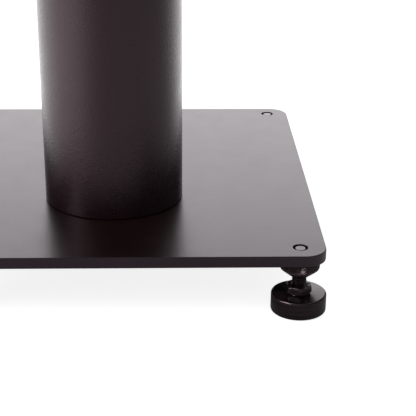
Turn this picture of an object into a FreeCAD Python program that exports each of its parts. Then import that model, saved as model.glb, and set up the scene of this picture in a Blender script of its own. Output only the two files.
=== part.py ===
import FreeCAD, Part
import math
import os

import Sketcher
from FreeCAD import Vector

# Floor stand for a loudspeaker: a thick base plate on four levelling feet, one large
# round column that stands off centre on it, and a top plate that carries the speaker.
# Frame: millimetres, +Z up, origin on the floor under the middle of the base plate,
# -Y towards the viewer of the photograph (called the front), +X to the viewer's right.

# ---------------------------------------------------------------- driving dimensions

SIZES = [
    # base plate
    ("base_width", 294.0, "base plate, left to right"),
    ("base_depth", 322.0, "base plate, front to rear"),
    ("base_thickness", 8.0, "base plate"),
    ("base_corner_radius", 15.5, "base plate, corners seen from above"),
    ("base_height", 38.5, "floor to the base plate's underside"),
    ("plate_edge_ease", 0.6, "rounding of the plates' cut edges"),
    ("foot_inset_side", 17.5, "foot axis to the plate's side edge"),
    ("foot_inset_end", 15.0, "foot axis to the plate's front or rear edge"),
    # column
    ("stand_height", 600.0, "floor to the top plate's upper face"),
    ("column_diameter", 101.6, "column tube, outside"),
    ("column_wall", 3.0, "column tube"),
    ("column_setback", 113.5, "column axis to the base plate's front edge"),
    ("column_end_chamfer", 0.7, "column tube, outer edge of both ends"),
    ("disc_thickness", 10.0, "tapped discs welded inside the column's ends"),
    ("disc_weld_gap", 0.2, "radial gap between disc and tube"),
    ("disc_bore", 30.0, "hole in the middle of each disc"),
    # top plate and its pads
    ("top_width", 190.0, "top plate, left to right"),
    ("top_depth", 240.0, "top plate, front to rear"),
    ("top_thickness", 6.0, "top plate"),
    ("top_corner_radius", 15.0, "top plate, corners seen from above"),
    ("pad_diameter", 16.0, "speaker pads"),
    ("pad_height", 2.0, "speaker pads"),
    ("pad_inset", 16.0, "speaker pad axis to the top plate's edges"),
    ("pad_edge_chamfer", 0.4, "speaker pads, upper edge"),
    # M8 countersunk screws that clamp both plates to the column
    ("screw_circle", 66.0, "diameter of the circle that the screws lie on"),
    ("screw_diameter", 8.0, "screw thread, outside"),
    ("screw_head_diameter", 15.6, "countersunk head"),
    ("screw_head_land", 0.4, "cylindrical rim of the head"),
    ("screw_length", 16.0, "overall, head included"),
    ("screw_head_sink", 0.3, "head below the plate's face"),
    ("screw_socket_flats", 5.0, "hexagon socket, across flats"),
    ("screw_socket_depth", 3.0, "hexagon socket"),
    ("screw_hole_clearance", 0.5, "radial, in the plates"),
    ("screw_seat_clearance", 0.15, "round the countersunk head"),
    # levelling foot: threaded stud
    ("stud_diameter", 10.0, "thread, outside"),
    ("stud_recess", 0.5, "stud's upper end below the base plate's face"),
    ("stud_end_chamfer", 0.9, "upper end of the thread"),
    ("corner_hole_chamfer", 0.3, "upper edge of the base plate's threaded holes"),
    ("thread_clearance", 0.05, "radial, stud in plate, collar and nut"),
    ("journal_diameter", 8.0, "plain lower end of the stud, turns in the puck"),
    ("journal_clearance", 0.05, "radial, journal in the puck's bore"),
    ("journal_end_chamfer", 0.5, "lower end of the stud"),
    ("ring_groove_diameter", 7.6, "groove for the retaining ring"),
    ("ring_groove_width", 0.9, "groove for the retaining ring"),
    # jam nut on the stud
    ("nut_flats", 16.0, "across flats"),
    ("nut_thickness", 5.0, "thin nut"),
    ("nut_chamfer_angle", 30.0, "corner chamfer on both faces, degrees"),
    # knurled lock collar
    ("collar_diameter", 27.5, "over the crests of the knurl"),
    ("collar_band_height", 6.7, "straight band with the knurl"),
    ("collar_bead_height", 0.4, "plain rim above and below the knurl"),
    ("collar_cone_height", 5.7, "cone below the band"),
    ("collar_nose_diameter", 12.4, "small end of the cone"),
    ("knurl_depth", 0.55, "crest to valley"),
    ("knurl_teeth", 60.0, "diamonds in one turn"),
    ("knurl_rows", 4.0, "diamonds over the band's height"),
    # puck
    ("puck_diameter", 38.0, "outside"),
    ("puck_height", 12.8, "without the floor pad"),
    ("puck_top_round", 0.9, "outer upper edge"),
    ("puck_bottom_round", 1.2, "outer lower edge"),
    ("boss_diameter", 14.5, "low boss under the nut"),
    ("boss_rise", 0.9, "boss above the puck's flat top"),
    ("boss_round", 0.5, "hollow round the boss's foot"),
    # what closes the puck from below
    ("pad_recess_depth", 1.0, "seat of the floor pad"),
    ("ring_recess_diameter", 14.0, "space for the retaining ring"),
    ("ring_recess_depth", 2.6, "space for the retaining ring"),
    ("ring_axial_clearance", 0.1, "ring to the recess's ceiling"),
    ("ring_thickness", 0.8, "retaining ring"),
    ("ring_width", 2.1, "retaining ring, radial"),
    ("ring_slot", 4.0, "open side of the retaining ring"),
    ("ring_groove_clearance", 0.05, "ring to groove, all round"),
    ("stud_end_gap", 0.7, "stud's lower end to the floor pad"),
    ("floor_pad_diameter", 32.0, "rubber disc under the puck"),
    ("floor_pad_thickness", 1.5, "rubber disc under the puck"),
    ("floor_pad_clearance", 0.2, "radial, in its seat"),
]

document = FreeCAD.newDocument("speaker_stand")
sheet = document.addObject("Spreadsheet::Sheet", "Sizes")
for row, (alias, number, meaning) in enumerate(SIZES, start=1):
    sheet.set(f"A{row}", alias)
    sheet.set(f"B{row}", str(number))
    sheet.set(f"C{row}", meaning)
    sheet.setAlias(f"B{row}", alias)
document.recompute()


# ------------------------------------------------- sizes as number and as expression


class Size:
    """A size that is known both as a number and as the formula that gives it."""

    def __init__(self, value, text):
        self.value = value
        self.text = text

    def __add__(self, other):
        other = as_size(other)
        return Size(self.value + other.value, f"({self.text} + {other.text})")

    def __sub__(self, other):
        other = as_size(other)
        return Size(self.value - other.value, f"({self.text} - {other.text})")

    def __mul__(self, factor):
        return Size(self.value * factor, f"({self.text} * {factor!r})")

    def __truediv__(self, divisor):
        return Size(self.value / divisor, f"({self.text} / {divisor!r})")

    def __neg__(self):
        return Size(-self.value, f"(0 - {self.text})")


def as_size(number):
    """A plain number as a Size; a Size stays what it is."""
    if isinstance(number, Size):
        return number
    return Size(float(number), repr(float(number)))


def size(alias):
    """The named cell of the sheet."""
    return Size(float(sheet.get(alias)), f"Sizes.{alias}")


def bind(thing, property_name, wanted):
    """Make one property of an object follow a size."""
    thing.setExpression(property_name, as_size(wanted).text)


ZERO = as_size(0.0)

# ------------------------------------------------------------- sizes that follow

base_top = size("base_height") + size("base_thickness")
column_y = size("column_setback") - size("base_depth") / 2
column_length = size("stand_height") - size("top_thickness") - base_top
top_plate_z = size("stand_height") - size("top_thickness")
disc_radius = size("column_diameter") / 2 - size("column_wall") - size("disc_weld_gap")

foot_x = size("base_width") / 2 - size("foot_inset_side")
foot_y = size("base_depth") / 2 - size("foot_inset_end")
puck_z = size("floor_pad_thickness") - size("pad_recess_depth")
nut_z = puck_z + size("puck_height") + size("boss_rise")
stud_z = size("floor_pad_thickness") + size("stud_end_gap")
stud_length = base_top - size("stud_recess") - stud_z
journal_length = nut_z - stud_z
ring_ceiling_z = puck_z + size("pad_recess_depth") + size("ring_recess_depth")
ring_z = ring_ceiling_z - size("ring_axial_clearance") - size("ring_thickness")
thread_hole_radius = size("stud_diameter") / 2 + size("thread_clearance")
collar_height = size("collar_cone_height") + size("collar_band_height")

COUNTERSINK_SLOPE = 1.0  # a 90 degree head is as deep as it is wide on one side
SCREWS_PER_END = 4
HEX_CORNER = 2 / math.sqrt(3)  # a hexagon's corner radius for a flat's distance of 1

CORNERS = [
    ("front_left", -1, -1),
    ("front_right", 1, -1),
    ("rear_left", -1, 1),
    ("rear_right", 1, 1),
]

finished = []  # every sub-part, in the order in which it was made


# ------------------------------------------------------------------ modelling helpers


def place(thing, x, y, z):
    """Put an object where three sizes say."""
    bind(thing, "Placement.Base.x", x)
    bind(thing, "Placement.Base.y", y)
    bind(thing, "Placement.Base.z", z)


def new_body(label, x, y, z):
    """An empty body for one sub-part, at its place in the stand."""
    body = document.addObject("PartDesign::Body", label)
    body.Label = label
    body.AllowCompound = True
    place(body, x, y, z)
    finished.append(body)
    return body


def origin_plane(body, role):
    """One of the body's own three planes."""
    for feature in body.Origin.OriginFeatures:
        if feature.Role == role:
            return feature
    raise LookupError(role)


def new_sketch(body, name, role="XY_Plane", height=ZERO, shift=ZERO):
    """An empty sketch on one of the body's planes, lifted off it and shifted along X."""
    sketch = body.newObject("Sketcher::SketchObject", name)
    sketch.AttachmentSupport = (origin_plane(body, role), [""])
    sketch.MapMode = "FlatFace"
    bind(sketch, "AttachmentOffset.Base.x", shift)
    bind(sketch, "AttachmentOffset.Base.z", height)
    return sketch


def fix_coordinate(sketch, kind, index, position, wanted, name):
    """Tie one coordinate of a sketch point to a size, measured from the origin."""
    if wanted.text == ZERO.text:
        axis = -2 if kind == "DistanceX" else -1
        sketch.addConstraint(Sketcher.Constraint("PointOnObject", index, position, axis))
        return
    rule = Sketcher.Constraint(kind, -1, 1, index, position, wanted.value)
    number = sketch.addConstraint(rule)
    sketch.renameConstraint(number, name)
    sketch.setExpression(f"Constraints.{name}", wanted.text)


def draw_outline(sketch, corners):
    """A closed outline of straight lines through corners, each tied to its sizes."""
    points = [(as_size(x), as_size(y)) for x, y in corners]
    count = len(points)
    for index in range(count):
        x_from, y_from = points[index]
        x_to, y_to = points[(index + 1) % count]
        start = Vector(x_from.value, y_from.value, 0)
        end = Vector(x_to.value, y_to.value, 0)
        sketch.addGeometry(Part.LineSegment(start, end), False)
    for index in range(count):
        following = (index + 1) % count
        sketch.addConstraint(Sketcher.Constraint("Coincident", index, 2, following, 1))
    for index, (x, y) in enumerate(points):
        fix_coordinate(sketch, "DistanceX", index, 1, x, f"x{index}")
        fix_coordinate(sketch, "DistanceY", index, 1, y, f"y{index}")


def draw_circle(sketch, x, y, radius):
    """A circle whose centre and radius are tied to sizes."""
    x, y, radius = as_size(x), as_size(y), as_size(radius)
    centre = Vector(x.value, y.value, 0)
    index = sketch.addGeometry(Part.Circle(centre, Vector(0, 0, 1), radius.value), False)
    fix_coordinate(sketch, "DistanceX", index, 3, x, f"x{index}")
    fix_coordinate(sketch, "DistanceY", index, 3, y, f"y{index}")
    number = sketch.addConstraint(Sketcher.Constraint("Radius", index, radius.value))
    sketch.renameConstraint(number, f"radius{index}")
    sketch.setExpression(f"Constraints.radius{index}", radius.text)


def draw_hexagon(sketch, flats):
    """A regular hexagon with two corners on the sketch's X axis."""
    corner_radius = flats / 2 * HEX_CORNER
    corners = []
    for step in range(6):
        angle = math.radians(60 * step)
        across = ZERO if step in (0, 3) else corner_radius * math.sin(angle)
        corners.append((corner_radius * math.cos(angle), across))
    draw_outline(sketch, corners)


def rectangle(x_low, x_high, y_low, y_high):
    """The four corners of a rectangle."""
    return [(x_low, y_low), (x_high, y_low), (x_high, y_high), (x_low, y_high)]


def pad(body, sketch, length, name):
    """Extrude a sketch upwards."""
    feature = body.newObject("PartDesign::Pad", name)
    feature.Profile = sketch
    bind(feature, "Length", length)
    document.recompute()
    return feature


def pocket(body, sketch, depth, name):
    """Cut a sketch downwards, through everything where no depth is given."""
    before = body.Shape.Volume
    feature = body.newObject("PartDesign::Pocket", name)
    feature.Profile = sketch
    if depth is None:
        feature.Type = "ThroughAll"
    else:
        bind(feature, "Length", depth)
    document.recompute()
    if body.Shape.Volume >= before:
        raise RuntimeError(f"{body.Label}: {name} removes nothing")
    return feature


def turn(body, sketch, name, kind="PartDesign::Revolution"):
    """Spin a profile in the XZ plane round the body's Z axis."""
    before = body.Shape.Volume if kind == "PartDesign::Groove" else 0.0
    feature = body.newObject(kind, name)
    feature.Profile = sketch
    feature.ReferenceAxis = (sketch, ["V_Axis"])
    feature.Angle = 360.0
    document.recompute()
    if kind == "PartDesign::Groove" and body.Shape.Volume >= before:
        raise RuntimeError(f"{body.Label}: {name} removes nothing")
    return feature


def edges_where(feature, chosen):
    """Names of a feature's edges that a test on the edge accepts."""
    names = []
    for number, edge in enumerate(feature.Shape.Edges, start=1):
        if chosen(edge):
            names.append(f"Edge{number}")
    if not names:
        raise LookupError(f"no edge found on {feature.Name}")
    return names


def dress(body, kind, feature, chosen, amount, name):
    """Fillet or chamfer the chosen edges of a feature."""
    dressed = body.newObject(kind, name)
    dressed.Base = (feature, edges_where(feature, chosen))
    bind(dressed, "Radius" if kind == "PartDesign::Fillet" else "Size", amount)
    document.recompute()
    return dressed


def polar(body, features, sketch, name):
    """Repeat features on the screw circle, round the normal of a sketch on the axis."""
    pattern = body.newObject("PartDesign::PolarPattern", name)
    pattern.Originals = features
    pattern.Axis = (sketch, ["N_Axis"])
    pattern.Angle = 360.0
    pattern.Occurrences = SCREWS_PER_END
    body.Tip = pattern
    document.recompute()
    return pattern


def near(first, second):
    """Whether two lengths are the same for a designer."""
    return abs(first - second) < 1e-4


def is_upright(edge):
    """Whether an edge is a straight line along Z."""
    box = edge.BoundBox
    return box.ZLength > 1e-4 and box.XLength < 1e-4 and box.YLength < 1e-4


def is_level(edge):
    """Whether an edge lies in one horizontal plane."""
    return edge.BoundBox.ZLength < 1e-4


def circle_test(radius, height):
    """A test for the full circle of a radius at a height over the body's origin."""

    def chosen(edge):
        curve = edge.Curve
        if not isinstance(curve, Part.Circle):
            return False
        return near(curve.Radius, radius.value) and near(curve.Center.z, height.value)

    return chosen


# ----------------------------------------------------------------------------- plates


def make_plate(label, outline, x, y, z, thickness, corner_radius):
    """A flat plate with round corners and eased edges, before it is drilled."""
    body = new_body(label, x, y, z)
    sketch = new_sketch(body, f"{label}_outline")
    draw_outline(sketch, outline)
    slab = pad(body, sketch, thickness, f"{label}_slab")
    rounded = dress(body, "PartDesign::Fillet", slab, is_upright, corner_radius,
                    f"{label}_corners")
    dress(body, "PartDesign::Fillet", rounded, is_level, size("plate_edge_ease"),
          f"{label}_edges")
    return body


def drill_screw_holes(body, label, face_height, outwards):
    """Countersunk clearance holes on the screw circle; outwards is +1 for a head on top."""
    hole_radius = size("screw_diameter") / 2 + size("screw_hole_clearance")
    seat_radius = size("screw_head_diameter") / 2 + size("screw_seat_clearance")
    land = size("screw_head_sink") + size("screw_head_land")
    thickness = size("top_thickness") if outwards > 0 else size("base_thickness")
    far_height = face_height - thickness * outwards
    cone_end = land + (seat_radius - hole_radius) / COUNTERSINK_SLOPE
    circle_radius = size("screw_circle") / 2

    upper_face = size_max(face_height, far_height)
    through = new_sketch(body, f"{label}_screw_circle", height=upper_face)
    draw_circle(through, circle_radius, ZERO, hole_radius)
    hole = pocket(body, through, None, f"{label}_screw_hole")
    polar(body, [hole], through, f"{label}_screw_holes")

    seat = new_sketch(body, f"{label}_seat_profile", "XZ_Plane", shift=circle_radius)
    half_section = [
        (ZERO, face_height),
        (seat_radius, face_height),
        (seat_radius, face_height - land * outwards),
        (hole_radius, face_height - cone_end * outwards),
        (ZERO, face_height - cone_end * outwards),
    ]
    draw_outline(seat, half_section)
    groove = turn(body, seat, f"{label}_seat", "PartDesign::Groove")
    polar(body, [groove], through, f"{label}_seats")


def size_max(first, second):
    """The larger of two sizes."""
    return first if first.value > second.value else second


def make_base_plate():
    """Base plate: four threaded corner holes, and four countersinks under the column."""
    half_width = size("base_width") / 2
    front = -size("column_setback")
    rear = size("base_depth") - size("column_setback")
    outline = rectangle(-half_width, half_width, front, rear)
    body = make_plate("base_plate", outline, ZERO, column_y, size("base_height"),
                      size("base_thickness"), size("base_corner_radius"))
    corner_holes = new_sketch(body, "base_corner_holes", height=size("base_thickness"))
    for _, side, end in CORNERS:
        draw_circle(corner_holes, foot_x * side, foot_y * end - column_y, thread_hole_radius)
    threads = pocket(body, corner_holes, None, "base_corner_threads")
    dress(body, "PartDesign::Chamfer", threads,
          circle_test(thread_hole_radius, size("base_thickness")),
          size("corner_hole_chamfer"), "base_corner_chamfers")
    drill_screw_holes(body, "base", ZERO, -1)


def make_top_plate():
    """Top plate, centred over the base plate, screwed to the column from above."""
    half_width = size("top_width") / 2
    half_depth = size("top_depth") / 2
    outline = rectangle(-half_width, half_width, -half_depth - column_y, half_depth - column_y)
    body = make_plate("top_plate", outline, ZERO, column_y, top_plate_z,
                      size("top_thickness"), size("top_corner_radius"))
    drill_screw_holes(body, "top", size("top_thickness"), 1)


def make_speaker_pads():
    """Four rubber pads near the top plate's corners."""
    body = new_body("speaker_pads", ZERO, ZERO, size("stand_height"))
    sketch = new_sketch(body, "speaker_pad_circles")
    for _, side, end in CORNERS:
        pad_x = (size("top_width") / 2 - size("pad_inset")) * side
        pad_y = (size("top_depth") / 2 - size("pad_inset")) * end
        draw_circle(sketch, pad_x, pad_y, size("pad_diameter") / 2)
    discs = pad(body, sketch, size("pad_height"), "speaker_pad_discs")
    dress(body, "PartDesign::Chamfer", discs,
          circle_test(size("pad_diameter") / 2, size("pad_height")),
          size("pad_edge_chamfer"), "speaker_pad_edges")


# ----------------------------------------------------------------------------- column


def make_column_tube():
    """Round tube that stands on the base plate and carries the top plate."""
    outer_radius = size("column_diameter") / 2
    body = new_body("column_tube", ZERO, column_y, base_top)
    sketch = new_sketch(body, "tube_section")
    draw_circle(sketch, ZERO, ZERO, outer_radius)
    draw_circle(sketch, ZERO, ZERO, outer_radius - size("column_wall"))
    tube = pad(body, sketch, column_length, "tube_length")

    def outer_end(edge):
        return isinstance(edge.Curve, Part.Circle) and near(edge.Curve.Radius, outer_radius.value)

    dress(body, "PartDesign::Chamfer", tube, outer_end, size("column_end_chamfer"),
          "tube_end_chamfers")


def make_end_disc(label, height):
    """Steel disc inside one end of the tube, tapped for the screws."""
    body = new_body(label, ZERO, column_y, height)
    section = new_sketch(body, f"{label}_section")
    draw_circle(section, ZERO, ZERO, disc_radius)
    draw_circle(section, ZERO, ZERO, size("disc_bore") / 2)
    pad(body, section, size("disc_thickness"), f"{label}_blank")
    tapped = new_sketch(body, f"{label}_tapping", height=size("disc_thickness"))
    draw_circle(tapped, size("screw_circle") / 2, ZERO,
                size("screw_diameter") / 2 + size("thread_clearance"))
    hole = pocket(body, tapped, None, f"{label}_tapped_hole")
    polar(body, [hole], tapped, f"{label}_tapped_holes")


def make_screws(label, face_z, outwards):
    """Four countersunk socket screws; outwards is +1 where the heads look up."""
    body = new_body(label, ZERO, column_y, face_z)
    head_radius = size("screw_head_diameter") / 2
    shank_radius = size("screw_diameter") / 2
    axis_x = size("screw_circle") / 2
    top = -size("screw_head_sink") * outwards
    land = top - size("screw_head_land") * outwards
    neck = land - (head_radius - shank_radius) * outwards / COUNTERSINK_SLOPE
    tip = top - size("screw_length") * outwards
    socket_end = top - size("screw_socket_depth") * outwards
    profile = new_sketch(body, f"{label}_profile", "XZ_Plane", shift=axis_x)
    half_section = [
        (ZERO, top),
        (head_radius, top),
        (head_radius, land),
        (shank_radius, neck),
        (shank_radius, tip),
        (ZERO, tip),
    ]
    draw_outline(profile, half_section)
    turned = turn(body, profile, f"{label}_turned")
    socket = new_sketch(body, f"{label}_socket", height=size_max(top, socket_end), shift=axis_x)
    draw_hexagon(socket, size("screw_socket_flats"))
    drive = pocket(body, socket, size("screw_socket_depth"), f"{label}_drive")
    centre = new_sketch(body, f"{label}_centre")
    draw_circle(centre, ZERO, ZERO, axis_x)
    polar(body, [turned, drive], centre, f"{label}_set")


# ------------------------------------------------------------------------------- feet


def make_stud(corner, x, y):
    """Threaded stud with a plain journal and a ring groove at its lower end."""
    body = new_body(f"{corner}_stud", x, y, stud_z)
    thread_radius = size("stud_diameter") / 2
    journal_radius = size("journal_diameter") / 2
    groove_radius = size("ring_groove_diameter") / 2
    spare_width = (size("ring_groove_width") - size("ring_thickness")) / 2
    groove_low = ring_z - stud_z - spare_width
    groove_high = groove_low + size("ring_groove_width")
    profile = new_sketch(body, f"{corner}_stud_profile", "XZ_Plane")
    half_section = [
        (ZERO, ZERO),
        (journal_radius - size("journal_end_chamfer"), ZERO),
        (journal_radius, size("journal_end_chamfer")),
        (journal_radius, groove_low),
        (groove_radius, groove_low),
        (groove_radius, groove_high),
        (journal_radius, groove_high),
        (journal_radius, journal_length),
        (thread_radius, journal_length),
        (thread_radius, stud_length - size("stud_end_chamfer")),
        (thread_radius - size("stud_end_chamfer"), stud_length),
        (ZERO, stud_length),
    ]
    draw_outline(profile, half_section)
    turn(body, profile, f"{corner}_stud_turned")


def make_jam_nut(corner, x, y):
    """Thin hexagon nut, locked on the stud, which stands on the puck's boss."""
    body = new_body(f"{corner}_jam_nut", x, y, nut_z)
    blank = new_sketch(body, f"{corner}_nut_hexagon")
    draw_hexagon(blank, size("nut_flats"))
    draw_circle(blank, ZERO, ZERO, thread_hole_radius)
    pad(body, blank, size("nut_thickness"), f"{corner}_nut_blank")
    flat_radius = size("nut_flats") / 2
    outside = flat_radius * HEX_CORNER + 1.0
    rise = (outside - flat_radius) * math.tan(math.radians(size("nut_chamfer_angle").value))
    thickness = size("nut_thickness")
    for end, face, slope in (("lower", ZERO, 1), ("upper", thickness, -1)):
        trim = new_sketch(body, f"{corner}_nut_{end}_trim", "XZ_Plane")
        draw_outline(trim, [(flat_radius, face), (outside, face), (outside, face + rise * slope)])
        turn(body, trim, f"{corner}_nut_{end}_chamfer", "PartDesign::Groove")


def knurl_solid():
    """A drum whose side is covered with raised diamonds, in rows that interlock.

    Two families of crossing V grooves leave pyramids. On a grid of half steps, each
    crossing of two grooves and each pyramid's tip take turns, so every cell of the
    grid is two triangles that meet along the groove between two crossings. The first
    and last line of the grid stay at groove depth, where the plain rims begin.
    """
    crest = size("collar_diameter").value / 2
    valley = crest - size("knurl_depth").value
    bead = size("collar_bead_height").value
    height = size("collar_band_height").value - 2 * bead
    around = 2 * int(round(size("knurl_teeth").value))
    lines = 2 * int(round(size("knurl_rows").value))

    def grid_point(step, line):
        is_tip = (step + line) % 2 == 1 and 0 < line < lines
        radius = crest if is_tip else valley
        angle = 2 * math.pi * (step % around) / around
        level = bead + height * line / lines
        return Vector(radius * math.cos(angle), radius * math.sin(angle), level)

    faces = []
    for line in range(lines):
        for step in range(around):
            here = grid_point(step, line)
            right = grid_point(step + 1, line)
            above = grid_point(step, line + 1)
            across = grid_point(step + 1, line + 1)
            if (step + line) % 2 == 0:
                triangles = [(here, right, across), (here, across, above)]
            else:
                triangles = [(here, right, above), (right, across, above)]
            for first, second, third in triangles:
                faces.append(Part.Face(Part.makePolygon([first, second, third, first])))
    for line in (0, lines):
        ring = [grid_point(step, line) for step in range(around)]
        faces.append(Part.Face(Part.makePolygon(ring + [ring[0]])))
    shell = Part.makeShell(faces)
    shell.sewShape()
    drum = Part.makeSolid(shell)
    if drum.Volume < 0:
        drum.reverse()
    return drum


def make_collar_turning():
    """The knurled collar as it leaves the lathe, nose on the origin: one piece for all feet."""
    valley = size("collar_diameter") / 2 - size("knurl_depth")
    core = valley - size("knurl_depth")
    band_low = size("collar_cone_height")
    bead_low = band_low + size("collar_bead_height")
    bead_high = collar_height - size("collar_bead_height")
    turned = document.addObject("PartDesign::Body", "collar_turned")
    profile = new_sketch(turned, "collar_profile", "XZ_Plane")
    half_section = [
        (ZERO, ZERO),
        (size("collar_nose_diameter") / 2, ZERO),
        (valley, band_low),
        (valley, bead_low),
        (core, bead_low),
        (core, bead_high),
        (valley, bead_high),
        (valley, collar_height),
        (ZERO, collar_height),
    ]
    draw_outline(profile, half_section)
    turn(turned, profile, "collar_lathe_work")

    drum = document.addObject("Part::Feature", "collar_knurl")
    drum.Shape = knurl_solid()
    bind(drum, "Placement.Base.z", band_low)

    joined = document.addObject("Part::Fuse", "collar_joined")
    joined.Base = turned
    joined.Tool = drum

    bore = document.addObject("Part::Cylinder", "collar_bore")
    bind(bore, "Radius", thread_hole_radius)
    bind(bore, "Height", collar_height)

    collar = document.addObject("Part::Cut", "collar_turning")
    collar.Base = joined
    collar.Tool = bore
    document.recompute()
    return collar


def make_lock_collar(corner, x, y, turning):
    """One of the four identical lock collars, screwed up against the base plate."""
    label = f"{corner}_lock_collar"
    collar = document.addObject("Part::Compound", label)
    collar.Label = label
    collar.Links = [turning]
    place(collar, x, y, size("base_height") - collar_height)
    finished.append(collar)


def make_puck(corner, x, y):
    """Flat round foot: the stud's journal turns in its bore, and a floor pad closes it."""
    body = new_body(f"{corner}_puck", x, y, puck_z)
    outer = size("puck_diameter") / 2
    top = size("puck_height")
    boss_radius = size("boss_diameter") / 2
    boss_top = top + size("boss_rise")
    bore_radius = size("journal_diameter") / 2 + size("journal_clearance")
    pad_seat = size("floor_pad_diameter") / 2 + size("floor_pad_clearance")
    pad_level = size("pad_recess_depth")
    ring_radius = size("ring_recess_diameter") / 2
    ring_level = pad_level + size("ring_recess_depth")
    profile = new_sketch(body, f"{corner}_puck_profile", "XZ_Plane")
    half_section = [
        (bore_radius, ring_level),
        (bore_radius, boss_top),
        (boss_radius, boss_top),
        (boss_radius, top),
        (outer, top),
        (outer, ZERO),
        (pad_seat, ZERO),
        (pad_seat, pad_level),
        (ring_radius, pad_level),
        (ring_radius, ring_level),
    ]
    draw_outline(profile, half_section)
    shape = turn(body, profile, f"{corner}_puck_turned")
    rounds = [
        ("boss_hollow", boss_radius, top, "boss_round"),
        ("upper_edge", outer, top, "puck_top_round"),
        ("lower_edge", outer, ZERO, "puck_bottom_round"),
    ]
    for name, radius, level, amount in rounds:
        shape = dress(body, "PartDesign::Fillet", shape, circle_test(radius, level),
                      size(amount), f"{corner}_{name}")


def make_retaining_ring(corner, x, y):
    """Open snap ring in the stud's groove, which keeps the puck on the stud."""
    body = new_body(f"{corner}_retaining_ring", x, y, ring_z)
    inner = size("ring_groove_diameter") / 2 + size("ring_groove_clearance")
    outer = inner + size("ring_width")
    section = new_sketch(body, f"{corner}_ring_section")
    draw_circle(section, ZERO, ZERO, outer)
    draw_circle(section, ZERO, ZERO, inner)
    pad(body, section, size("ring_thickness"), f"{corner}_ring_blank")
    slot = new_sketch(body, f"{corner}_ring_slot", height=size("ring_thickness"))
    half_slot = size("ring_slot") / 2
    draw_outline(slot, rectangle(-half_slot, half_slot, -outer * 1.2, ZERO))
    pocket(body, slot, None, f"{corner}_ring_opening")


def make_floor_pad(corner, x, y):
    """Thin rubber disc in the puck's underside, the only piece that meets the floor."""
    body = new_body(f"{corner}_floor_pad", x, y, ZERO)
    sketch = new_sketch(body, f"{corner}_floor_pad_circle")
    draw_circle(sketch, ZERO, ZERO, size("floor_pad_diameter") / 2)
    pad(body, sketch, size("floor_pad_thickness"), f"{corner}_floor_pad_disc")


# ------------------------------------------------------------------------------ build

make_base_plate()
make_column_tube()
make_end_disc("lower_end_disc", base_top)
make_end_disc("upper_end_disc", top_plate_z - size("disc_thickness"))
make_screws("base_screws", size("base_height"), -1)
make_top_plate()
make_screws("top_screws", size("stand_height"), 1)
make_speaker_pads()

collar_turning = make_collar_turning()
for corner_name, side_sign, end_sign in CORNERS:
    corner_x = foot_x * side_sign
    corner_y = foot_y * end_sign
    make_stud(corner_name, corner_x, corner_y)
    make_jam_nut(corner_name, corner_x, corner_y)
    make_lock_collar(corner_name, corner_x, corner_y, collar_turning)
    make_puck(corner_name, corner_x, corner_y)
    make_retaining_ring(corner_name, corner_x, corner_y)
    make_floor_pad(corner_name, corner_x, corner_y)

document.recompute()

# ------------------------------------------------------------------ checks and export

for thing in document.Objects:
    for word in ("Invalid", "Error"):
        if word in thing.State:
            raise RuntimeError(f"{thing.Label} is {word}")

os.makedirs("parts", exist_ok=True)
for thing in finished:
    solid = thing.Shape
    if solid.isNull() or not solid.isValid() or not solid.Solids:
        raise RuntimeError(f"{thing.Label} has no valid solid")
    solid.exportStep(f"parts/{thing.Label}.step")
    box = solid.BoundBox
    print(f"{thing.Label}: {len(solid.Solids)} solid(s), {solid.Volume:.1f} mm3, "
          f"z {box.ZMin:.2f} to {box.ZMax:.2f}")
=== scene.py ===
import math

import bmesh
import bpy
from mathutils import Matrix, Vector


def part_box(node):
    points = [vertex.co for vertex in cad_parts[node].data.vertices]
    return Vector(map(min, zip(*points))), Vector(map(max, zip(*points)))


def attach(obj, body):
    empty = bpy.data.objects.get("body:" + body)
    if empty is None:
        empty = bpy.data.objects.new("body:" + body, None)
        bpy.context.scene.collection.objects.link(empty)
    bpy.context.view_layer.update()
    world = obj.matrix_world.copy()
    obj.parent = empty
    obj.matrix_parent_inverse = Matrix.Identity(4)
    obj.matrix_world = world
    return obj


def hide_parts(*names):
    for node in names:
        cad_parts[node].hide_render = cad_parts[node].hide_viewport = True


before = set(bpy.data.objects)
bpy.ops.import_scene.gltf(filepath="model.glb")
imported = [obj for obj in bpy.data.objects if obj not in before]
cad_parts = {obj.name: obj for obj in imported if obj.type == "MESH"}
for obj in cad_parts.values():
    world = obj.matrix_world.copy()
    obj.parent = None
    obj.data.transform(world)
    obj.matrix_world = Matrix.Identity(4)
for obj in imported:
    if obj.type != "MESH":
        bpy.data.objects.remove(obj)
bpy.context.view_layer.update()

# Speaker stand: round column on a thick base plate with four levelling feet. Metres, in
# the frame's axes: -Y is the near edge of the base plate, +Z is up.

MM = 0.001
CORNERS = ["front_left", "front_right", "rear_left", "rear_right"]
IMAGE_SIDE = 416  # pixels, the photograph's width and height

# ------------------------------------------------------------------------ camera

CAMERA_PLACE = Vector((0.04439, -0.84241, 0.36551))
CAMERA_PITCH = math.radians(22.602)  # down from the horizon
CAMERA_YAW = math.radians(1.858)  # towards +X from the +Y axis
CAMERA_ROLL = math.radians(0.492)
FOCAL_PIXELS = 1140.65
SENSOR_WIDTH = 36.0  # millimetres
CLIP_START, CLIP_END = 0.02, 60.0


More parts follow.
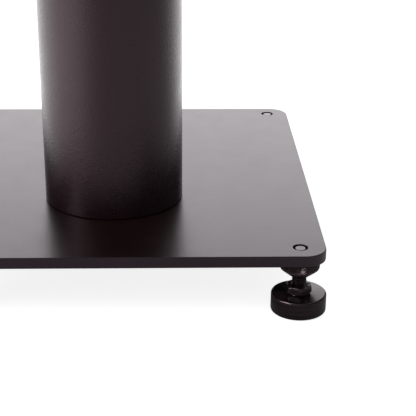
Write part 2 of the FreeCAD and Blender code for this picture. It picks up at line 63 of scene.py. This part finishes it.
def make_camera():
    """The photograph's camera, looking down on the near right corner of the base."""
    data = bpy.data.cameras.new("camera")
    data.sensor_width = SENSOR_WIDTH
    data.lens = FOCAL_PIXELS / IMAGE_SIDE * SENSOR_WIDTH
    data.clip_start, data.clip_end = CLIP_START, CLIP_END
    camera = bpy.data.objects.new("camera", data)
    bpy.context.scene.collection.objects.link(camera)
    ahead = Vector((
        math.sin(CAMERA_YAW) * math.cos(CAMERA_PITCH),
        math.cos(CAMERA_YAW) * math.cos(CAMERA_PITCH),
        -math.sin(CAMERA_PITCH),
    ))
    level_right = Vector((math.cos(CAMERA_YAW), -math.sin(CAMERA_YAW), 0.0))
    level_up = level_right.cross(ahead)
    right = level_right * math.cos(CAMERA_ROLL) + level_up * math.sin(CAMERA_ROLL)
    up = level_up * math.cos(CAMERA_ROLL) - level_right * math.sin(CAMERA_ROLL)
    turn = Matrix((right, up, -ahead)).transposed()
    camera.matrix_world = Matrix.Translation(CAMERA_PLACE) @ turn.to_4x4()
    bpy.context.scene.camera = camera


# ------------------------------------------------------------------------- mesh code

SHARP_ANGLE = math.radians(35)


def finish_mesh(bm, name):
    """An object from a bmesh: smooth faces, with the edges past an angle kept sharp."""
    bmesh.ops.recalc_face_normals(bm, faces=bm.faces)
    for face in bm.faces:
        face.smooth = True
    for edge in bm.edges:
        if len(edge.link_faces) == 2 and edge.calc_face_angle() > SHARP_ANGLE:
            edge.smooth = False
    mesh = bpy.data.meshes.new(name)
    bm.to_mesh(mesh)
    bm.free()
    piece = bpy.data.objects.new(name, mesh)
    bpy.context.scene.collection.objects.link(piece)
    return piece


def radius_at(ring, angle):
    """A ring's radius at an angle; a ring holds a number or a function of the angle."""
    radius = ring[0]
    return radius(angle) if callable(radius) else radius


def make_rings(name, rings, segments, centre, closed=False, twist=0.0):
    """A turned piece from (radius, height) rings; closed joins the last to the first."""
    bm = bmesh.new()
    loops = []
    for ring in rings:
        if ring[0] == 0:
            loops.append([bm.verts.new((centre[0], centre[1], ring[1]))])
            continue
        loop = []
        for step in range(segments):
            angle = 2 * math.pi * step / segments
            radius = radius_at(ring, angle)
            x = centre[0] + radius * math.cos(angle + twist)
            y = centre[1] + radius * math.sin(angle + twist)
            loop.append(bm.verts.new((x, y, ring[1])))
        loops.append(loop)
    pairs = list(zip(loops, loops[1:]))
    if closed:
        pairs.append((loops[-1], loops[0]))
    for lower, upper in pairs:
        for step in range(segments):
            following = (step + 1) % segments
            if len(lower) == 1:
                bm.faces.new((lower[0], upper[following], upper[step]))
            elif len(upper) == 1:
                bm.faces.new((lower[step], lower[following], upper[0]))
            else:
                bm.faces.new((lower[step], lower[following], upper[following], upper[step]))
    return finish_mesh(bm, name)


def arc(centre_r, centre_z, radius, start, end, count):
    """Points of a profile's round, from one angle to another in degrees."""
    points = []
    for step in range(count + 1):
        angle = math.radians(start + (end - start) * step / count)
        points.append((centre_r + radius * math.cos(angle), centre_z + radius * math.sin(angle)))
    return points


def soft_least(first, second, ease):
    """The lesser of two lengths, eased where they meet."""
    least = min(first, second)
    return least - ease * math.log(1 + math.exp(-abs(first - second) / ease))


def hexagon(flats, ease):
    """Radius of a hexagon over the angle, with an eased corner at zero."""
    half = flats / 2
    sixth = math.pi / 3

    def radius(angle):
        past_middle = (angle % sixth) - sixth / 2
        own = half / math.cos(past_middle)
        neighbour = half / math.cos(sixth - abs(past_middle))
        return soft_least(own, neighbour, ease)

    return radius


# ------------------------------------------------------------------------- materials

# Features to the metre, and slopes of the bumps that they make.
GRAIN_PER_METRE = 1000.0  # the powder coat's grains
PEEL_PER_METRE = 300.0  # the soft waves under them
PEEL_SLOPE = 0.006
MOTTLE_PER_METRE = 60.0  # patches a little paler and a little rougher
RINGS_PER_METRE = 900.0  # a lathe's marks along a turned piece
RING_STRETCH = (0.04, 0.04, 1.0)  # draws noise out into rings round the Z axis
BRUSH_PER_METRE = 500.0
BRUSH_STRETCH = (1.0, 1.0, 0.05)
BRUSH_HEIGHT = 0.02 * MM
SKIN_PER_METRE = 1300.0  # moulded rubber
SKIN_HEIGHT = 0.05 * MM
DUST_PER_METRE = 90.0
BLACKENED_TINT = (1.0, 0.78, 0.84)  # of the reflections in blackened steel
MIDDLE = (0.3, 0.7)  # most of a noise's values lie between these


class Shader:
    """A material's node tree, with short calls for the nodes that the finishes share."""

    def __init__(self, name):
        self.material = bpy.data.materials.new(name)
        self.material.use_nodes = True
        self.tree = self.material.node_tree
        self.surface = self.tree.nodes["Principled BSDF"]
        self.place = self.node("ShaderNodeTexCoord").outputs["Object"]

    def node(self, kind, **settings):
        """A new node with its settings."""
        made = self.tree.nodes.new(kind)
        for key, value in settings.items():
            setattr(made, key, value)
        return made

    def link(self, source, target):
        """Joins an output to an input."""
        self.tree.links.new(source, target)

    def feed(self, source, socket):
        """Joins an output to one of the surface's own sockets."""
        self.link(source, self.surface.inputs[socket])

    def noise(self, per_metre, detail=2.0, roughness=0.5, stretch=None):
        """Noise of a given number of features to the metre."""
        made = self.node("ShaderNodeTexNoise")
        made.inputs["Scale"].default_value = per_metre
        made.inputs["Detail"].default_value = detail
        made.inputs["Roughness"].default_value = roughness
        if stretch is None:
            self.link(self.place, made.inputs["Vector"])
        else:
            mapping = self.node("ShaderNodeMapping")
            mapping.inputs["Scale"].default_value = stretch
            self.link(self.place, mapping.inputs["Vector"])
            self.link(mapping.outputs["Vector"], made.inputs["Vector"])
        return made.outputs["Fac"]

    def spread(self, source, span, low_value=0.0, high_value=1.0):
        """A value mapped from one span to another."""
        made = self.node("ShaderNodeMapRange")
        made.inputs["From Min"].default_value = span[0]
        made.inputs["From Max"].default_value = span[1]
        made.inputs["To Min"].default_value = low_value
        made.inputs["To Max"].default_value = high_value
        self.link(source, made.inputs["Value"])
        return made.outputs["Result"]

    def blend_colours(self, factor, first, second):
        """A colour between two, by a factor."""
        made = self.node("ShaderNodeMix", data_type="RGBA")
        made.inputs["A"].default_value = (*first, 1.0)
        made.inputs["B"].default_value = (*second, 1.0)
        self.link(factor, made.inputs["Factor"])
        return made.outputs["Result"]

    def bump(self, height, strength, distance, under=None):
        """A bump on the surface, over another where one is given."""
        made = self.node("ShaderNodeBump")
        made.inputs["Strength"].default_value = strength
        made.inputs["Distance"].default_value = distance
        self.link(height, made.inputs["Height"])
        if under is not None:
            self.link(under, made.inputs["Normal"])
        return made.outputs["Normal"]

    def set(self, **sockets):
        """Numbers and colours on the surface's own sockets, by the socket's name."""
        for key, value in sockets.items():
            self.surface.inputs[key.replace("_", " ")].default_value = value


def powder_coat(name, dark, light, rough_low, rough_high, grain_slope, tint, specular):
    """Black powder coat: a fine grained skin over long soft waves, mottled a little."""
    shader = Shader(name)
    peel = shader.noise(PEEL_PER_METRE, detail=1.0)
    grain = shader.noise(GRAIN_PER_METRE, detail=2.0, roughness=0.6)
    mottle = shader.noise(MOTTLE_PER_METRE, detail=4.0, roughness=0.6)
    paler = shader.spread(mottle, (0.35, 0.75))
    shader.feed(shader.blend_colours(paler, dark, light), "Base Color")
    shader.feed(shader.spread(mottle, MIDDLE, rough_low, rough_high), "Roughness")
    waves = shader.bump(peel, 1.0, PEEL_SLOPE / PEEL_PER_METRE)
    shader.feed(shader.bump(grain, 1.0, grain_slope / GRAIN_PER_METRE, waves), "Normal")
    shader.set(Specular_IOR_Level=specular, Specular_Tint=(*tint, 1.0))
    return shader.material


def turned_black(name, dark, light, rough_low, rough_high, specular, ring_slope):
    """Blackened steel off a lathe: fine rings round the axis, rubbed a little paler."""
    shader = Shader(name)
    rings = shader.noise(RINGS_PER_METRE, detail=2.0, stretch=RING_STRETCH)
    paler = shader.spread(rings, (0.45, 0.75))
    shader.feed(shader.blend_colours(paler, dark, light), "Base Color")
    shader.feed(shader.spread(rings, MIDDLE, rough_low, rough_high), "Roughness")
    shader.feed(shader.bump(rings, 1.0, ring_slope / RINGS_PER_METRE), "Normal")
    shader.set(Specular_IOR_Level=specular, Specular_Tint=(*BLACKENED_TINT, 1.0))
    return shader.material


def bare_steel(name):
    """Plain steel of the hidden rings and discs."""
    shader = Shader(name)
    brush = shader.noise(BRUSH_PER_METRE, detail=3.0, stretch=BRUSH_STRETCH)
    shader.feed(shader.blend_colours(brush, (0.42, 0.42, 0.43), (0.6, 0.6, 0.61)), "Base Color")
    shader.feed(shader.spread(brush, MIDDLE, 0.28, 0.42), "Roughness")
    shader.feed(shader.bump(brush, 0.1, BRUSH_HEIGHT), "Normal")
    shader.set(Metallic=1.0)
    return shader.material


def black_rubber(name):
    """Moulded rubber with a fine skin and a little dust."""
    shader = Shader(name)
    skin = shader.noise(SKIN_PER_METRE, detail=3.0, roughness=0.7)
    dust = shader.noise(DUST_PER_METRE, detail=4.0)
    dusty = shader.spread(dust, (0.5, 0.85))
    shader.feed(shader.blend_colours(dusty, (0.016, 0.016, 0.017), (0.05, 0.05, 0.05)), "Base Color")
    shader.feed(shader.spread(skin, MIDDLE, 0.6, 0.85), "Roughness")
    shader.feed(shader.bump(skin, 0.3, SKIN_HEIGHT), "Normal")
    shader.set(Specular_IOR_Level=0.35)
    return shader.material


def dress_node(node, material):
    """Gives a CAD node a finish."""
    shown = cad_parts[node]
    shown.data.materials.clear()
    shown.data.materials.append(material)


def dress_piece(piece, material, slot, body, *nodes):
    """A new piece's finish and body, and the CAD nodes that it stands for; slot is not used."""
    piece.data.materials.append(material)
    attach(piece, body)
    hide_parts(*nodes)


# ------------------------------------------------------------------- levelling feet

THREAD_PITCH = 1.5 * MM
THREAD_DEPTH = 0.85 * MM
THREAD_CREST, THREAD_ROOT = 0.125, 0.25  # flat parts of the profile, in pitches
ROWS_PER_PITCH = 10
STUD_SEGMENTS = 60
STUD_CHAMFER = 1.6 * MM
JOURNAL_RADIUS = 4.0 * MM
JOURNAL_CHAMFER = 0.5 * MM
NUT_FLATS = 16.0 * MM
NUT_BORE_RADIUS = 5.05 * MM
NUT_BORE_CHAMFER = 0.6 * MM
NUT_EASE = 0.12 * MM  # how softly the nut's edges are broken
NUT_FACE_SHARE = 0.985  # the round face's width, of the width across flats
NUT_CHAMFER_ANGLE = math.radians(30)
NUT_CHAMFER_STEPS = 10
NUT_CHAMFER_REACH = 1.3  # how deep the chamfer's rows go, in depths of it at a corner
NUT_SEGMENTS = 180
KNURL_TEETH = 60
KNURL_ROWS = 4
KNURL_DEPTH = 0.55 * MM
COLLAR_BAND = 6.7 * MM
COLLAR_BEAD = 0.4 * MM
COLLAR_NOSE_RADIUS = 6.2 * MM
COLLAR_NOSE_CHAMFER = 0.3 * MM  # inwards
COLLAR_NOSE_LIFT = 0.25 * MM  # the same chamfer, upwards
COLLAR_BORE_RADIUS = 5.05 * MM
COLLAR_BORE_CHAMFER = 0.3 * MM
COLLAR_TOP_CHAMFER = 0.15 * MM
CONE_STEPS = 6
CONE_SHOULDER = 0.1 * MM  # step from the cone to the band
PUCK_BOSS_RISE = 0.9 * MM
PUCK_BOSS_RADIUS = 7.25 * MM
PUCK_BOSS_CHAMFER = 0.2 * MM
PUCK_BOSS_FOOT = 0.5 * MM  # hollow round at the boss's foot
PUCK_BORE_RADIUS = 4.05 * MM
PUCK_BORE_CHAMFER = 0.3 * MM
PUCK_TOP_ROUND = 1.4 * MM
PUCK_LOW_ROUND = 1.2 * MM
PUCK_SEAT_RADIUS = 16.2 * MM
PUCK_SEAT_DEPTH = 1.0 * MM
PUCK_HOLLOW_RADIUS = 7.0 * MM
PUCK_HOLLOW = 3.6 * MM
PUCK_SEGMENTS = 144
# each nut stopped at a turn of its own, in degrees, when the stand was set up
NUT_TURN = {"front_left": 22.0, "front_right": -25.0, "rear_left": 47.0, "rear_right": 8.0}


def centre_of(node):
    """A node's middle, seen from above."""
    low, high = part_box(node)
    return ((low.x + high.x) / 2, (low.y + high.y) / 2)


def thread_wave(turns):
    """Depth of a 60 degree thread over one pitch: 0 on the crest and 1 in the root."""
    phase = turns % 1.0
    flank = (1.0 - THREAD_CREST - THREAD_ROOT) / 2
    root_start = THREAD_CREST + flank
    root_end = root_start + THREAD_ROOT
    if phase < THREAD_CREST:
        return 0.0
    if phase < root_start:
        return (phase - THREAD_CREST) / flank
    if phase < root_end:
        return 1.0
    return 1.0 - (phase - root_end) / flank


def make_stud(corner):
    """Threaded stud with a real helix, a chamfered upper end and its journal below."""
    node = f"{corner}_stud"
    low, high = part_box(node)
    thread_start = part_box(f"{corner}_jam_nut")[0].z
    radius = (high.x - low.x) / 2
    top = high.z

    def thread_ring(level):
        chamfer = max(0.0, level - (top - STUD_CHAMFER))
        run_in = min(1.0, (level - thread_start) / THREAD_PITCH)

        def at(angle):
            wave = thread_wave(level / THREAD_PITCH - angle / (2 * math.pi))
            return min(radius - THREAD_DEPTH * wave * run_in, radius - chamfer)

        return at

    rings = [
        (0, low.z),
        (JOURNAL_RADIUS - JOURNAL_CHAMFER, low.z),
        (JOURNAL_RADIUS, low.z + JOURNAL_CHAMFER),
        (JOURNAL_RADIUS, thread_start),
        (radius, thread_start),
    ]
    rows = int((top - thread_start) / THREAD_PITCH * ROWS_PER_PITCH)
    for row in range(1, rows):
        level = thread_start + (top - thread_start) * row / rows
        rings.append((thread_ring(level), level))
    rings.append((radius - STUD_CHAMFER, top))
    rings.append((0, top))
    return make_rings(f"{corner}_threaded_stud", rings, STUD_SEGMENTS, centre_of(node))


def make_nut(corner):
    """Thin hexagon nut with eased corners, chamfered on both faces."""
    node = f"{corner}_jam_nut"
    low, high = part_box(node)
    outline = hexagon(NUT_FLATS, NUT_EASE)
    face_radius = NUT_FLATS / 2 * NUT_FACE_SHARE
    slope = math.tan(NUT_CHAMFER_ANGLE)

    def trimmed(depth):
        def at(angle):
            return soft_least(outline(angle), face_radius + depth / slope, NUT_EASE)

        return at

    corner_depth = (NUT_FLATS / math.sqrt(3) - face_radius) * slope
    reach = NUT_CHAMFER_REACH * corner_depth
    depths = [reach * step / NUT_CHAMFER_STEPS for step in range(NUT_CHAMFER_STEPS + 1)]
    mouth = NUT_BORE_RADIUS + NUT_BORE_CHAMFER
    rings = [(NUT_BORE_RADIUS, low.z + NUT_BORE_CHAMFER), (mouth, low.z)]
    rings += [(trimmed(depth), low.z + depth) for depth in depths]
    rings += [(trimmed(depth), high.z - depth) for depth in reversed(depths)]
    rings += [(mouth, high.z), (NUT_BORE_RADIUS, high.z - NUT_BORE_CHAMFER)]
    twist = math.radians(NUT_TURN[corner])
    return make_rings(
        f"{corner}_chamfered_nut", rings, NUT_SEGMENTS, centre_of(node), closed=True, twist=twist
    )


def make_collar(corner):
    """Knurled lock collar: rows of pyramids between two plain rims, over a cone."""
    node = f"{corner}_lock_collar"
    low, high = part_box(node)
    crest = (high.x - low.x) / 2
    valley = crest - KNURL_DEPTH
    around = 2 * KNURL_TEETH
    lines = 2 * KNURL_ROWS
    band_low = high.z - COLLAR_BAND
    knurl_low = band_low + COLLAR_BEAD
    knurl_height = COLLAR_BAND - 2 * COLLAR_BEAD

    def row(line):
        tips = 0 < line < lines

        def at(angle):
            step = int(round(angle * around / (2 * math.pi)))
            return crest if tips and (step + line) % 2 == 1 else valley

        return at

    rings = [
        (COLLAR_BORE_RADIUS, low.z + COLLAR_BORE_CHAMFER),
        (COLLAR_BORE_RADIUS + COLLAR_BORE_CHAMFER, low.z),
        (COLLAR_NOSE_RADIUS - COLLAR_NOSE_CHAMFER, low.z),
        (COLLAR_NOSE_RADIUS, low.z + COLLAR_NOSE_LIFT),
    ]
    for step in range(1, CONE_STEPS):
        share = step / CONE_STEPS
        radius = COLLAR_NOSE_RADIUS + (valley - COLLAR_NOSE_RADIUS) * share
        rings.append((radius, low.z + (band_low - low.z) * share))
    rings.append((valley - CONE_SHOULDER, band_low - CONE_SHOULDER / 2))
    rings.append((valley, band_low + CONE_SHOULDER))
    for line in range(lines + 1):
        rings.append((row(line), knurl_low + knurl_height * line / lines))
    rings.append((valley, high.z - COLLAR_TOP_CHAMFER))
    rings.append((valley - COLLAR_TOP_CHAMFER, high.z))
    rings.append((COLLAR_BORE_RADIUS, high.z))
    piece = make_rings(f"{corner}_knurled_collar", rings, around, centre_of(node), closed=True)
    cut_diamonds(piece, knurl_low, knurl_low + knurl_height)
    return piece


def cut_diamonds(piece, low, high):
    """Splits the knurl's quads along the grooves, so that every pyramid has four flat sides."""
    bm = bmesh.new()
    bm.from_mesh(piece.data)
    slack = 0.01 * MM
    centre_x = sum(v.co.x for v in bm.verts) / len(bm.verts)
    centre_y = sum(v.co.y for v in bm.verts) / len(bm.verts)

    def reach(vert):
        return math.hypot(vert.co.x - centre_x, vert.co.y - centre_y)

    def in_band(face):
        levels = [v.co.z for v in face.verts]
        return min(levels) > low - slack and max(levels) < high + slack

    def opposite(face, ends):
        loop = list(face.verts)
        return abs(loop.index(ends[0]) - loop.index(ends[1])) == 2

    quads = []
    for face in bm.faces:
        radii = [reach(v) for v in face.verts]
        if in_band(face) and len(face.verts) == 4 and max(radii) - min(radii) > slack:
            quads.append(face)
    for face in quads:
        inmost = sorted(face.verts, key=reach)
        ends = (inmost[0], inmost[1])
        if not opposite(face, ends):
            ends = (inmost[0], inmost[2])
        if opposite(face, ends):
            bmesh.utils.face_split(face, ends[0], ends[1])
    for face in bm.faces:
        if in_band(face):
            face.smooth = max(reach(v) for v in face.verts) < COLLAR_NOSE_RADIUS
    bm.to_mesh(piece.data)
    bm.free()


def make_puck(corner):
    """Flat round foot with rounded edges, a low boss for the nut and a seat for its pad."""
    node = f"{corner}_puck"
    low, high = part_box(node)
    outer = (high.x - low.x) / 2
    top = high.z - PUCK_BOSS_RISE
    profile = [
        (PUCK_BORE_RADIUS, low.z + PUCK_HOLLOW),
        (PUCK_BORE_RADIUS, high.z - PUCK_BORE_CHAMFER),
        (PUCK_BORE_RADIUS + PUCK_BORE_CHAMFER, high.z),
        (PUCK_BOSS_RADIUS - PUCK_BOSS_CHAMFER, high.z),
        (PUCK_BOSS_RADIUS, high.z - PUCK_BOSS_CHAMFER),
    ]
    foot = PUCK_BOSS_FOOT
    profile += arc(PUCK_BOSS_RADIUS + foot, top + foot, foot, 180, 270, 5)
    profile += arc(outer - PUCK_TOP_ROUND, top - PUCK_TOP_ROUND, PUCK_TOP_ROUND, 90, 0, 8)
    profile += arc(outer - PUCK_LOW_ROUND, low.z + PUCK_LOW_ROUND, PUCK_LOW_ROUND, 0, -90, 8)
    profile += [
        (PUCK_SEAT_RADIUS, low.z),
        (PUCK_SEAT_RADIUS, low.z + PUCK_SEAT_DEPTH),
        (PUCK_HOLLOW_RADIUS, low.z + PUCK_SEAT_DEPTH),
        (PUCK_HOLLOW_RADIUS, low.z + PUCK_HOLLOW),
    ]
    return make_rings(f"{corner}_round_puck", profile, PUCK_SEGMENTS, centre_of(node), closed=True)


# ----------------------------------------------------------------------- room

# Polished faces see a painted glow on the floor: bright behind the stand and to its left, dim on
# the viewer's side, with painted shade near the stand. Walls are dim under a broad soft ceiling.
FLOOR_REACH = 8.0  # from the middle to an edge
BRIGHT_SIDE = (-0.63, 0.777, 0.0)
DIM_FROM, BRIGHT_FROM = -0.65, 0.12  # cosines of the angle to the bright side
WALL, CEILING = 0.28, 0.76
CEILING_FROM, CEILING_FULL = 0.55, 0.85  # sines of the angle above the floor
GLOW_DIM, GLOW_BRIGHT = 0.33, 1.62  # GLOW_DIM, GLOW_BRIGHT = 0.33, 1.62 # painted glow in polished faces, over the floor's own light
GLOW_FROM, GLOW_FULL = 0.16, 0.42  # GLOW_FROM, GLOW_FULL = 0.16, 0.42 # from the middle: painted shade dims the glow nearer the stand
FLOOR_LIFT = 0.85  # brings the floor to white for the camera, with a soft shadow left
FLOOR_COLOUR = (0.5, 0.5, 0.5, 1.0)
WHITE = (1.0, 1.0, 1.0, 1.0)


def smooth_span(tree, value, from_low, from_high, low, high):
    """A value eased from low to high over a span of another."""
    span = tree.nodes.new("ShaderNodeMapRange")
    span.interpolation_type = "SMOOTHSTEP"
    span.inputs["From Min"].default_value = from_low
    span.inputs["From Max"].default_value = from_high
    span.inputs["To Min"].default_value = low
    span.inputs["To Max"].default_value = high
    tree.links.new(value, span.inputs["Value"])
    return span.outputs["Result"]


def vector_math(tree, operation, first, second=None):
    """A vector node of one operation; its second vector, where it has one, is constant."""
    made = tree.nodes.new("ShaderNodeVectorMath")
    made.operation = operation
    tree.links.new(first, made.inputs[0])
    if second is not None:
        made.inputs[1].default_value = second
    return made


def number_math(tree, operation, first, second):
    """A sum or product of two values, of which the second may be a number."""
    made = tree.nodes.new("ShaderNodeMath")
    made.operation = operation
    tree.links.new(first, made.inputs[0])
    if isinstance(second, float):
        made.inputs[1].default_value = second
    else:
        tree.links.new(second, made.inputs[1])
    return made.outputs["Value"]


def bright_side(tree, vector, low, high):
    """A value that goes from low to high with the angle of a vector to the bright side."""
    level = vector_math(tree, "MULTIPLY", vector, (1.0, 1.0, 0.0))
    unit = vector_math(tree, "NORMALIZE", level.outputs["Vector"])
    towards = vector_math(tree, "DOT_PRODUCT", unit.outputs["Vector"], BRIGHT_SIDE)
    return smooth_span(tree, towards.outputs["Value"], DIM_FROM, BRIGHT_FROM, low, high)


def make_floor():
    """Pale floor that goes to white for the camera and keeps a soft shadow."""
    bm = bmesh.new()
    bmesh.ops.create_grid(bm, x_segments=2, y_segments=2, size=FLOOR_REACH)
    floor = finish_mesh(bm, "floor")
    material = bpy.data.materials.new("floor_paper")
    material.use_nodes = True
    tree = material.node_tree
    tree.nodes.clear()
    output = tree.nodes.new("ShaderNodeOutputMaterial")
    add = tree.nodes.new("ShaderNodeAddShader")
    matt = tree.nodes.new("ShaderNodeBsdfDiffuse")
    matt.inputs["Color"].default_value = FLOOR_COLOUR
    glow = tree.nodes.new("ShaderNodeEmission")
    path = tree.nodes.new("ShaderNodeLightPath")
    place = tree.nodes.new("ShaderNodeTexCoord").outputs["Object"]
    seen = number_math(tree, "MULTIPLY", path.outputs["Is Camera Ray"], FLOOR_LIFT)
    # painted glow in polished faces: brighter on the bright side, with painted shade near the stand
    side = bright_side(tree, place, GLOW_DIM, GLOW_BRIGHT)
    distance = vector_math(tree, "LENGTH", place)
    clear = smooth_span(tree, distance.outputs["Value"], GLOW_FROM, GLOW_FULL, 0.0, 1.0)
    painted_glow = number_math(tree, "MULTIPLY", side, clear)
    painted_glow_in_gloss = number_math(tree, "MULTIPLY", path.outputs["Is Glossy Ray"], painted_glow)
    tree.links.new(number_math(tree, "ADD", seen, painted_glow_in_gloss), glow.inputs["Strength"])
    tree.links.new(matt.outputs["BSDF"], add.inputs[0])
    tree.links.new(glow.outputs["Emission"], add.inputs[1])
    tree.links.new(add.outputs["Shader"], output.inputs["Surface"])
    floor.data.materials.append(material)


def make_world():
    """White for the camera; for light and gloss, dim walls under a bright ceiling."""
    world = bpy.data.worlds.new("studio")
    bpy.context.scene.world = world
    world.use_nodes = True
    tree = world.node_tree
    tree.nodes.clear()
    output = tree.nodes.new("ShaderNodeOutputWorld")
    mix = tree.nodes.new("ShaderNodeMixShader")
    white = tree.nodes.new("ShaderNodeBackground")
    white.inputs["Color"].default_value = WHITE
    room = tree.nodes.new("ShaderNodeBackground")
    room.inputs["Color"].default_value = WHITE
    path = tree.nodes.new("ShaderNodeLightPath")
    place = tree.nodes.new("ShaderNodeTexCoord")
    parts = tree.nodes.new("ShaderNodeSeparateXYZ")
    tree.links.new(place.outputs["Generated"], parts.inputs["Vector"])
    strength = smooth_span(tree, parts.outputs["Z"], CEILING_FROM, CEILING_FULL, WALL, CEILING)
    tree.links.new(strength, room.inputs["Strength"])
    tree.links.new(path.outputs["Is Camera Ray"], mix.inputs["Fac"])
    tree.links.new(room.outputs["Background"], mix.inputs[1])
    tree.links.new(white.outputs["Background"], mix.inputs[2])
    tree.links.new(mix.outputs["Shader"], output.inputs["Surface"])


# ----------------------------------------------------------------------- lamps

HIGH_PLACE = (-0.97, -0.45, 1.15)
HIGH_TARGET = (0.13, -0.15, 0.0)  # the front right foot


def make_lamp(name, place, target, width, height, radiance):
    """A soft box of a given brightness, which the camera doesn't see."""
    data = bpy.data.lights.new(name, "AREA")
    data.shape = "RECTANGLE"
    data.size, data.size_y = width, height
    data.energy = radiance * width * height * math.pi
    lamp = bpy.data.objects.new(name, data)
    lamp.location = place
    lamp.rotation_euler = (Vector(target) - Vector(place)).to_track_quat("-Z", "Y").to_euler()
    lamp.visible_camera = False
    bpy.context.scene.collection.objects.link(lamp)
    return lamp


def keep_light_off(lamp, nodes):
    """Leaves some of the CAD nodes out of a lamp's light."""
    shaded = bpy.data.collections.new(f"{lamp.name}_shaded")
    for node in nodes:
        shaded.objects.link(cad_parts[node])
    for entry in shaded.collection_objects:
        entry.light_linking.link_state = "EXCLUDE"
    lamp.light_linking.receiver_collection = shaded


def make_glint(pieces):
    """The bright glints of a key lamp, on the polished parts of the feet alone."""
    lamp = make_lamp("glint_lamp", HIGH_PLACE, HIGH_TARGET, width=0.9, height=0.9, radiance=40.0)
    lamp.visible_diffuse = False
    lit = bpy.data.collections.new("polished")
    for piece in pieces:
        lit.objects.link(piece)
    lamp.light_linking.receiver_collection = lit


def make_lamps(polished):
    """A panel behind the stand and, before it on the left, a small lamp and a high one."""
    back_panel = make_lamp(
        "back_panel", (-0.1, 1.6, 0.6), (-0.1, 0.0, 0.1), width=1.7, height=1.0, radiance=2.45
    )
    # the top plate lies level with the panel, and would go white in it from the front
    keep_light_off(back_panel, ["top_plate", "top_screws"])
    make_lamp(
        "front_lamp", (-1.33, -0.75, 0.62), (0.0, 0.0, 0.1), width=0.5, height=0.3, radiance=10.0
    )
    make_lamp("high_lamp", HIGH_PLACE, HIGH_TARGET, width=1.2, height=0.5, radiance=5.0)
    make_glint(polished)


# ----------------------------------------------------------------------------- build

make_camera()

plate_paint = powder_coat(
    "plate_powder_coat",
    dark=(0.005, 0.0014, 0.0012),
    light=(0.007, 0.0022, 0.0018),
    rough_low=0.285,
    rough_high=0.315,
    grain_slope=0.05,
    tint=(1.0, 0.78, 0.98),
    specular=0.45,
)
column_paint = powder_coat(
    "column_powder_coat",
    dark=(0.006, 0.0012, 0.002),
    light=(0.009, 0.003, 0.004),
    rough_low=0.25,
    rough_high=0.31,
    grain_slope=0.18,
    tint=(1.0, 0.76, 0.86),
    specular=0.5,
)
steel_black = turned_black(
    "black_steel",
    dark=(0.012, 0.006, 0.008),
    light=(0.03, 0.018, 0.02),
    rough_low=0.18,
    rough_high=0.3,
    specular=0.65,
    ring_slope=0.02,
)
stud_black = turned_black(
    "stud_black",
    dark=(0.004, 0.001, 0.002),
    light=(0.01, 0.006, 0.007),
    rough_low=0.16,
    rough_high=0.28,
    specular=0.5,
    ring_slope=0.02,
)
collar_black = turned_black(
    "collar_black",
    dark=(0.024, 0.014, 0.017),
    light=(0.05, 0.034, 0.038),
    rough_low=0.16,
    rough_high=0.26,
    specular=0.6,
    ring_slope=0.0,
)
foot_gloss = turned_black(
    "foot_gloss_black",
    dark=(0.003, 0.001, 0.0015),
    light=(0.026, 0.016, 0.019),
    rough_low=0.12,
    rough_high=0.24,
    specular=0.28,
    ring_slope=0.12,
)
steel = bare_steel("plain_steel")
rubber = black_rubber("black_rubber")

dress_node("base_plate", plate_paint)
dress_node("top_plate", plate_paint)
dress_node("column_tube", column_paint)
for node in ("base_screws", "top_screws"):
    dress_node(node, steel_black)
for node in ("lower_end_disc", "upper_end_disc"):
    dress_node(node, steel)
dress_node("speaker_pads", rubber)

polished = []
for corner in CORNERS:
    dress_node(f"{corner}_retaining_ring", steel)
    dress_node(f"{corner}_floor_pad", rubber)
    stud, nut = make_stud(corner), make_nut(corner)
    collar, puck = make_collar(corner), make_puck(corner)
    dress_piece(stud, stud_black, "black_steel", f"{corner}_screw", f"{corner}_stud")
    dress_piece(nut, steel_black, "black_steel", f"{corner}_screw", f"{corner}_jam_nut")
    dress_piece(collar, collar_black, "foot_black", f"{corner}_collar", f"{corner}_lock_collar")
    dress_piece(puck, foot_gloss, "foot_gloss", f"{corner}_foot", f"{corner}_puck")
    polished += [nut, collar, puck]

make_floor()
make_world()
make_lamps(polished)

scene = bpy.context.scene
scene.view_settings.view_transform = "Standard"
